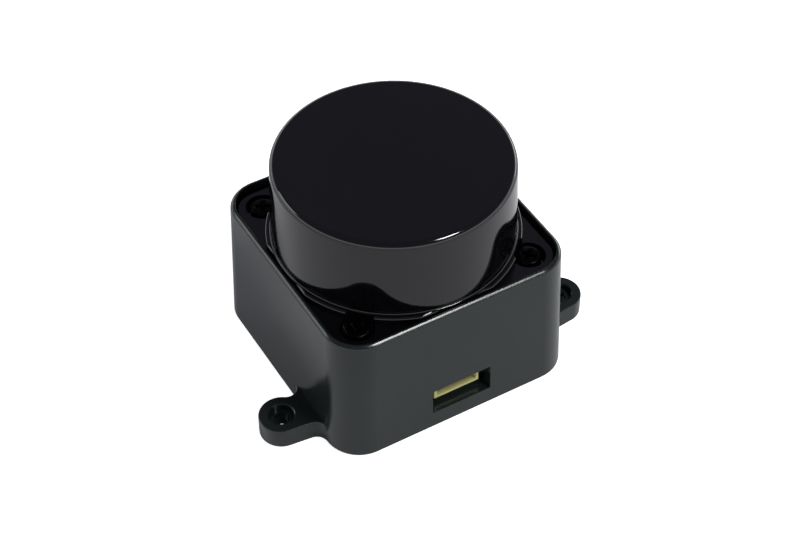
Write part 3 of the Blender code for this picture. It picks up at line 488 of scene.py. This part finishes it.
# ---- Smoked window ----------------------------------------------------------------------------
# One moulding in infrared-pass polycarbonate: it looks polished black, and only the laser's
# light gets through. A square deck drops into the rim, a foot ring steps up to the drafted cup,
# and a round well in each corner takes a screw.
window_low, window_high = (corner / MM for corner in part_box("window_cover"))
DECK_HALF = window_high.x
DECK_LOW = window_low.z
CUP_TOP = window_high.z
DECK_TOP = DECK_LOW + 1.8
DECK_CORNER = CORNER - LIP - 0.3
DECK_EDGE = 0.15
CUP_WALL = 1.2
CUP_ROOF = 1.4
CUP_EDGE = 0.95
CUP_FILLET = 0.25
CUP_FOOT_RADIUS = DECK_HALF - 0.085
CUP_TOP_RADIUS = CUP_FOOT_RADIUS - 0.36
RING_RADIUS = CUP_FOOT_RADIUS + 0.8
RING_TOP = DECK_TOP + 1.15
RING_EDGE = 0.38
WELL_RADIUS = 2.5
WELL_FLOOR = DECK_TOP - 1.2

WINDOW_BLACK, window_tree, window_shader = new_material("smoked_window")
window_texture = window_tree.nodes.new("ShaderNodeGroup")
window_texture.node_tree = GRAIN
window_texture.inputs["Scale"].default_value = 400.0
window_texture.inputs["Patch Scale"].default_value = 45.0
window_tree.links.new(two_colours(window_tree, window_texture.outputs["Patches"], (0.0016, 0.0016, 0.0022),
                                  (0.0026, 0.0026, 0.0034)), window_shader.inputs["Base Color"])
window_tree.links.new(mapped(window_tree, window_texture.outputs["Patches"], 0.055, 0.085),
                      window_shader.inputs["Roughness"])
window_shader.inputs["IOR"].default_value = 1.48


def clipped_circle(radius, half, steps=40):
    """Circle whose four sides are cut flat at half."""
    swing = math.degrees(math.acos(half / radius))
    points = []
    for quarter in range(4):
        points += arc((0, 0), radius, 90 * quarter + swing, 90 * quarter + 90 - swing, steps)
    return points


deck = bmesh.new()
add_skin(deck, [(rounded_square(DECK_HALF, DECK_CORNER), DECK_LOW)]
         + [(rounded_square(DECK_HALF - DECK_EDGE + x, DECK_CORNER - DECK_EDGE + x),
             DECK_TOP - DECK_EDGE + z)
            for x, z in arc((0, 0), DECK_EDGE, 0, 90, 4)])
window = make_piece("window_moulding", deck, WINDOW_BLACK)

ring = bmesh.new()
ring_half = DECK_HALF - DECK_EDGE
add_skin(ring, [(clipped_circle(RING_RADIUS, ring_half), DECK_TOP - 0.8)]
         + [(clipped_circle(RING_RADIUS - RING_EDGE + x, ring_half - RING_EDGE + x),
             RING_TOP - RING_EDGE + z)
            for x, z in arc((0, 0), RING_EDGE, 0, 90, 6)])
combine(window, ring, "UNION")

wells = bmesh.new()
for place in POSTS:
    add_hole(wells, WELL_RADIUS, WELL_FLOOR, CUP_TOP, 56, place)
combine(window, wells, "DIFFERENCE")

cup = bmesh.new()
add_turned(cup, [(0, DECK_LOW + 0.2), (CUP_FOOT_RADIUS, DECK_LOW + 0.2), (CUP_FOOT_RADIUS, RING_TOP - 0.3)]
           + arc((CUP_FOOT_RADIUS + CUP_FILLET, RING_TOP - 0.02 + CUP_FILLET), CUP_FILLET, 270, 180, 6)
           + arc((CUP_TOP_RADIUS - CUP_EDGE, CUP_TOP - CUP_EDGE), CUP_EDGE, 0, 90, 16) + [(0, CUP_TOP)], 192)
combine(window, cup, "UNION")

hollow = bmesh.new()
foot_inner = CUP_FOOT_RADIUS - CUP_WALL
top_inner = CUP_TOP_RADIUS - CUP_WALL
ceiling = CUP_TOP - CUP_ROOF
add_turned(hollow, [(0, DECK_LOW - 1), (foot_inner, DECK_LOW - 1), (foot_inner, DECK_TOP),
                    (top_inner, ceiling - 0.4), (top_inner - 0.4, ceiling), (0, ceiling)], 96)
for place in POSTS:
    add_hole(hollow, POST_HOLE, DECK_LOW - 1, WELL_FLOOR + 0.5, 32, place)
combine(window, hollow, "DIFFERENCE")
smooth(window)
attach(window, "base")
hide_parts("window_cover")

# ---- Window screws ------------------------------------------------------------------------------
# Four M2 pan-head screws for plastic, black oxide steel with a cross recess. They pull the deck
# down onto the posts of the base. Each stopped at its own angle.
def dark_metal(name, dark, light, roughness):
    material, tree, shader = new_material(name)
    texture = tree.nodes.new("ShaderNodeGroup")
    texture.node_tree = GRAIN
    texture.inputs["Scale"].default_value = 5000.0
    texture.inputs["Patch Scale"].default_value = 700.0
    tree.links.new(two_colours(tree, texture.outputs["Patches"], dark, light), shader.inputs["Base Color"])
    tree.links.new(mapped(tree, texture.outputs["Patches"], roughness[0], roughness[1]),
                   shader.inputs["Roughness"])
    shader.inputs["Metallic"].default_value = 1.0
    bumped(tree, shader, texture.outputs["Height"], 0.000003)
    return material


SCREW_BLACK = dark_metal("black_oxide_steel", (0.004, 0.0037, 0.004), (0.008, 0.0074, 0.0077),
                         (0.26, 0.36))


def cross_outline(reach, half, degrees):
    corners = [(half, half), (half, reach), (-half, reach), (-half, half), (-reach, half), (-reach, -half),
               (-half, -half), (-half, -reach), (half, -reach), (half, -half), (reach, -half), (reach, half)]
    return placed(corners, (0, 0), degrees)


def make_screw(name, node, head_height, shank, thread_pitch, turn_degrees, flipped=False):
    """Pan-head screw standing where the frame's screw is; its head points up, or down if flipped."""
    low, high = (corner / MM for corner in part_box(node))
    head = (high.x - low.x) / 2
    seat = high.z - head_height
    core = shank * 0.78
    profile = [(0, low.z), (core * 0.5, low.z), (core, low.z + core * 0.6)]
    height = low.z + core * 0.6
    while height + thread_pitch < seat - 0.5:
        profile += [(core, height + thread_pitch * 0.2), (shank, height + thread_pitch * 0.5),
                    (shank, height + thread_pitch * 0.6), (core, height + thread_pitch * 0.9)]
        height += thread_pitch
    crown = head_height * 0.45
    shoulder = 0.35
    profile += [(core, seat), (head - 0.08, seat), (head, seat + 0.08), (head, seat + head_height - crown)]
    profile += [(head - shoulder + x, high.z - crown + z * crown / shoulder)
                for x, z in arc((0, 0), shoulder, 0, 80, 6)[1:]]
    profile += [(head * 0.45, high.z), (0, high.z)]
    body = bmesh.new()
    add_turned(body, profile, 48)
    screw = make_piece(name, body, SCREW_BLACK)
    cross = bmesh.new()
    add_skin(cross, [(cross_outline(head * 0.16, head * 0.06, turn_degrees), high.z - head_height * 0.85),
                     (cross_outline(head * 0.36, head * 0.13, turn_degrees), high.z - head_height * 0.5),
                     (cross_outline(head * 0.68, head * 0.17, turn_degrees), high.z + 0.05)])
    combine(screw, cross, "DIFFERENCE")
    for vertex in screw.data.vertices:
        if flipped:
            vertex.co.x = -vertex.co.x
            vertex.co.z = (low.z + high.z) * MM - vertex.co.z
        vertex.co.x += (low.x + high.x) / 2 * MM
        vertex.co.y += (low.y + high.y) / 2 * MM
    smooth(screw, 30)
    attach(screw, "base")
    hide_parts(node)


for number, turn_degrees in enumerate((18, 63, 37, 5), 1):
    make_screw(f"window_screw_{number}_fine", f"window_screw_{number}", 1.0, 1.0, 0.55, turn_degrees)

# ---- Cable header -------------------------------------------------------------------------------
# Ivory nylon shell of a 4-way 1.5 mm side-entry header, open towards the socket. Four bent tinned
# pins run through its back and down into the control board, which holds it.
NYLON_IVORY = moulded_plastic("nylon_ivory", (0.40, 0.38, 0.16), (0.46, 0.43, 0.19), (0.36, 0.46),
                              grain=6000.0)
header_low, header_high = (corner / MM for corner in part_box("cable_header"))
header_half = header_high.x
header_front, header_back = header_low.y, header_high.y
header_floor, header_top = header_low.z, header_high.z
HEADER_WALL = 0.5
HEADER_BACK_WALL = 1.2
PIN_HOLE_HALF = 0.35
PIN_BEND = 0.35


def add_block(shape, low, high):
    add_prism(shape, [(low[0], low[1]), (high[0], low[1]), (high[0], high[1]), (low[0], high[1])],
              low[2], high[2])


header_block = bmesh.new()
add_block(header_block, (-header_half, header_front, header_floor), (header_half, header_back, header_top))
header = make_piece("header_shell", header_block, NYLON_IVORY)
round_edges(header, 0.12)
settle(header)
mouth = bmesh.new()
add_block(mouth, (HEADER_WALL - header_half, header_front - 1, header_floor + HEADER_WALL),
          (header_half - HEADER_WALL, header_back - HEADER_BACK_WALL, header_top - HEADER_WALL))
combine(header, mouth, "DIFFERENCE")
pin_boxes = [tuple(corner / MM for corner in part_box(f"header_pin_{number}")) for number in range(1, 5)]
pin_holes = bmesh.new()
for pin_low, pin_high in pin_boxes:
    middle = (pin_low.x + pin_high.x) / 2
    add_block(pin_holes, (middle - PIN_HOLE_HALF, header_back - 2, pin_high.z - 0.6),
              (middle + PIN_HOLE_HALF, header_back + 1, pin_high.z + 0.1))
combine(header, pin_holes, "DIFFERENCE")
smooth(header)
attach(header, "base")
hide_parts("cable_header")

TINNED = dark_metal("tinned_brass", (0.66, 0.64, 0.60), (0.80, 0.78, 0.74), (0.18, 0.30))
for number, (pin_low, pin_high) in enumerate(pin_boxes, 1):
    side = pin_high.x - pin_low.x
    drop = pin_high.y - side
    under = pin_high.z - side
    outline = ([(pin_low.y, under + 0.1), (pin_low.y + 0.15, under), (drop - 0.1, under),
                (drop, under - 0.1), (drop, pin_low.z + 0.15), (drop + 0.1, pin_low.z),
                (pin_high.y - 0.1, pin_low.z), (pin_high.y, pin_low.z + 0.15)]
               + arc((pin_high.y - PIN_BEND, pin_high.z - PIN_BEND), PIN_BEND, 0, 90, 6)
               + [(pin_low.y + 0.15, pin_high.z), (pin_low.y, pin_high.z - 0.1)])
    wire = bmesh.new()
    sides = [[wire.verts.new((x, y, z)) for y, z in outline] for x in (pin_low.x, pin_high.x)]
    wire.faces.new(sides[0])
    wire.faces.new(list(reversed(sides[1])))
    for i in range(len(outline)):
        wire.faces.new((sides[0][i - 1], sides[0][i], sides[1][i], sides[1][i - 1]))
    pin = make_piece(f"header_pin_{number}_fine", wire, TINNED)
    smooth(pin)
    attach(pin, "base")
    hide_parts(f"header_pin_{number}")

# ---- Bottom cover -------------------------------------------------------------------------------
# Flat black ABS plate let into the underside, held by four screws in round seats. Ejector pins of
# the mould have left shallow round marks, and a plain field is sunk for a label.
cover_low, cover_high = (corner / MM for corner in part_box("bottom_cover"))
cover_half = cover_high.x
cover_corner = CAVITY_CORNER + 0.1
COVER_EDGE = 0.15
COVER_SEAT = 2.0
COVER_HOLE = 1.0
EJECTOR_RADIUS = 1.6
EJECTOR_PLACE = 12.5
LABEL_HALF = 8.0
LABEL_DEPTH = 0.12
plate = bmesh.new()
add_skin(plate, [(rounded_square(cover_half - COVER_EDGE + x, cover_corner - COVER_EDGE + x),
                  cover_low.z + COVER_EDGE + z)
                 for x, z in arc((0, 0), COVER_EDGE, 270, 360, 3)]
         + [(rounded_square(cover_half, cover_corner), cover_high.z)])
cover = make_piece("underside_plate", plate, HOUSING_BLACK)
sinks = bmesh.new()
for place in POSTS:
    add_turned(sinks, [(0, -1), (COVER_SEAT + 0.15, -1), (COVER_SEAT + 0.15, 0), (COVER_SEAT, 0.15),
                       (COVER_SEAT, 0.9), (COVER_HOLE, 0.9), (COVER_HOLE, 2), (0, 2)], 40, place)
for place in ((0, EJECTOR_PLACE), (EJECTOR_PLACE, 0), (0, -EJECTOR_PLACE), (-EJECTOR_PLACE, 0)):
    add_hole(sinks, EJECTOR_RADIUS, -1, 0.06, 32, place)
add_prism(sinks, rounded_square(LABEL_HALF, 1.2, 6), -1, LABEL_DEPTH)
combine(cover, sinks, "DIFFERENCE")
smooth(cover)
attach(cover, "base")
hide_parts("bottom_cover")

# ---- Bottom screws ------------------------------------------------------------------------------
# Four M1.4 thread-forming screws, black oxide steel; they hold the cover from below and end in the
# housing's corner posts.
for number, turn_degrees in enumerate((41, 12, 77, 29), 1):
    make_screw(f"bottom_screw_{number}_fine", f"bottom_screw_{number}", 0.5, 0.7, 0.4, turn_degrees,
               flipped=True)

# ---- Circuit boards -----------------------------------------------------------------------------
# Glass-epoxy laminate under a dark green solder mask, with thin copper runs showing through it and
# small tinned vias. The control board sits in the base, two more turn with the head.
def dress(names, material):
    """Give pieces taken over from the frame their material."""
    for name in names:
        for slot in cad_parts[name].material_slots:
            slot.material = material


def board_pattern_group():
    """Masks of the copper runs and the vias of a printed board, on object coordinates."""
    group = bpy.data.node_groups.new("board_pattern", "ShaderNodeTree")
    group_socket(group, "Runs", "NodeSocketFloat", "OUTPUT")
    group_socket(group, "Vias", "NodeSocketFloat", "OUTPUT")
    nodes, links = group.nodes, group.links
    result = nodes.new("NodeGroupOutput")
    place = nodes.new("ShaderNodeTexCoord")
    runs = nodes.new("ShaderNodeTexBrick")
    runs.inputs["Scale"].default_value = 420.0
    runs.inputs["Mortar Size"].default_value = 0.025
    dots = nodes.new("ShaderNodeTexVoronoi")
    dots.inputs["Scale"].default_value = 500.0
    inside = nodes.new("ShaderNodeMath")
    inside.operation = "LESS_THAN"
    inside.inputs[1].default_value = 0.14
    links.new(place.outputs["Object"], runs.inputs["Vector"])
    links.new(place.outputs["Object"], dots.inputs["Vector"])
    links.new(dots.outputs["Distance"], inside.inputs[0])
    links.new(runs.outputs["Fac"], result.inputs["Runs"])
    links.new(inside.outputs["Value"], result.inputs["Vias"])
    return group


BOARD_GREEN, board_tree, board_shader = new_material("masked_laminate")
board_pattern = board_tree.nodes.new("ShaderNodeGroup")
board_pattern.node_tree = board_pattern_group()
board_mask = two_colours(board_tree, board_pattern.outputs["Runs"], (0.0035, 0.0105, 0.0065),
                         (0.009, 0.026, 0.015))
board_face = board_tree.nodes.new("ShaderNodeMix")
board_face.data_type = "RGBA"
board_face.inputs["B"].default_value = (0.52, 0.50, 0.46, 1.0)
board_tree.links.new(board_pattern.outputs["Vias"], board_face.inputs["Factor"])
board_tree.links.new(board_mask, board_face.inputs["A"])
board_tree.links.new(board_face.outputs["Result"], board_shader.inputs["Base Color"])
board_tree.links.new(board_pattern.outputs["Vias"], board_shader.inputs["Metallic"])
board_tree.links.new(mapped(board_tree, board_pattern.outputs["Runs"], 0.30, 0.38, 0.0, 1.0),
                     board_shader.inputs["Roughness"])
bumped(board_tree, board_shader, board_pattern.outputs["Runs"], 0.00002)
dress(("control_board", "head_board", "optics_board"), BOARD_GREEN)

# ---- Chips --------------------------------------------------------------------------------------
# Transfer-moulded black epoxy with a fine sandy skin; the inductor's ferrite body looks the same.
CHIP_BLACK = moulded_plastic("chip_epoxy", (0.0035, 0.0035, 0.004), (0.006, 0.006, 0.0065), (0.45, 0.60),
                             grain=4000.0, depth=0.00001)
dress(("controller_chip", "motor_driver_chip", "signal_processor", "encoder_sensor", "supply_inductor",
       "light_detector", "link_emitter", "link_receiver"), CHIP_BLACK)

# ---- Motor, coils and bearings ------------------------------------------------------------------
# Stacked lamination steel, enamelled copper in even turns, a bonded magnet ring in a steel yoke,
# and two ground steel ball bearings in a turned brass sleeve.
def worked_metal(name, dark, light, roughness, kind, pitch, depth):
    """Metal with the even marks of its making: stacked sheets, wound wire or turned rings."""
    material, tree, shader = new_material(name)
    texture = tree.nodes.new("ShaderNodeGroup")
    texture.node_tree = GRAIN
    texture.inputs["Patch Scale"].default_value = 250.0
    tree.links.new(two_colours(tree, texture.outputs["Patches"], dark, light), shader.inputs["Base Color"])
    tree.links.new(mapped(tree, texture.outputs["Patches"], roughness[0], roughness[1]),
                   shader.inputs["Roughness"])
    shader.inputs["Metallic"].default_value = 1.0
    place = tree.nodes.new("ShaderNodeTexCoord")
    marks = tree.nodes.new("ShaderNodeTexWave")
    marks.wave_type = kind
    marks.bands_direction = "Z"
    marks.rings_direction = "Z"
    marks.inputs["Scale"].default_value = math.pi / 10 / (pitch * MM)
    marks.inputs["Distortion"].default_value = 0.2
    tree.links.new(place.outputs["Object"], marks.inputs["Vector"])
    bumped(tree, shader, marks.outputs["Fac"], depth)
    return material


LAMINATIONS = worked_metal("lamination_stack", (0.085, 0.09, 0.10), (0.12, 0.125, 0.135), (0.32, 0.45),
                           "BANDS", 0.35, 0.00003)
COPPER_WIRE = worked_metal("enamelled_copper", (0.36, 0.095, 0.03), (0.50, 0.15, 0.05), (0.22, 0.32),
                           "BANDS", 0.25, 0.00006)
GROUND_STEEL = worked_metal("ground_steel", (0.40, 0.41, 0.43), (0.50, 0.51, 0.53), (0.14, 0.24),
                            "RINGS", 0.12, 0.000002)
YOKE_STEEL = worked_metal("plated_steel", (0.34, 0.34, 0.33), (0.44, 0.43, 0.41), (0.24, 0.34),
                          "BANDS", 0.30, 0.000003)
TURNED_BRASS = worked_metal("turned_brass", (0.44, 0.24, 0.05), (0.55, 0.32, 0.08), (0.20, 0.32),
                            "RINGS", 0.15, 0.000003)
BONDED_MAGNET = moulded_plastic("bonded_magnet", (0.030, 0.030, 0.033), (0.050, 0.050, 0.054), (0.50, 0.65),
                                grain=3500.0, depth=0.00001)
dress(("stator_core",), LAMINATIONS)
dress(("stator_winding", "supply_coil", "pickup_coil"), COPPER_WIRE)
dress(("rotor_yoke",), YOKE_STEEL)
dress(("magnet_ring",), BONDED_MAGNET)
dress(("rotor_shaft", "shaft_clip"), GROUND_STEEL)
for place in ("lower", "upper"):
    dress([f"{place}_bearing_{part}" for part in ("ball_cage", "inner_race", "outer_race")], GROUND_STEEL)
dress(("bearing_sleeve", "balance_weight", "laser_diode"), TURNED_BRASS)

# ---- Plates and inner screws --------------------------------------------------------------------
# Blanked and blasted aluminium carries the motor and the head; small black screws hold them.
BLASTED_ALUMINIUM = dark_metal("blasted_aluminium", (0.44, 0.45, 0.46), (0.54, 0.55, 0.56), (0.34, 0.46))
dress(("motor_plate", "rotor_platform"), BLASTED_ALUMINIUM)
for place in ("board_screw", "motor_plate_screw", "head_screw"):
    dress([f"{place}_{number}" for number in (1, 2, 3)], SCREW_BLACK)

# ---- Optics of the head -------------------------------------------------------------------------
# Matt black glass-filled frame and encoder disc, both moulded, and two coated glass lenses held
# in the frame's bores.
OPTICS_BLACK = moulded_plastic("optics_black", (0.002, 0.002, 0.002), (0.004, 0.004, 0.004), (0.55, 0.70),
                               grain=5000.0, depth=0.000008)
dress(("optics_frame", "encoder_disc"), OPTICS_BLACK)
LENS_GLASS, lens_tree, lens_shader = new_material("coated_glass")
lens_texture = lens_tree.nodes.new("ShaderNodeGroup")
lens_texture.node_tree = GRAIN
lens_tree.links.new(two_colours(lens_tree, lens_texture.outputs["Patches"], (0.62, 0.52, 0.80),
                                (0.70, 0.62, 0.86)), lens_shader.inputs["Base Color"])
lens_tree.links.new(mapped(lens_tree, lens_texture.outputs["Patches"], 0.01, 0.03),
                    lens_shader.inputs["Roughness"])
lens_shader.inputs["Transmission Weight"].default_value = 1.0
lens_shader.inputs["IOR"].default_value = 1.52
dress(("emitter_lens", "receiver_lens"), LENS_GLASS)
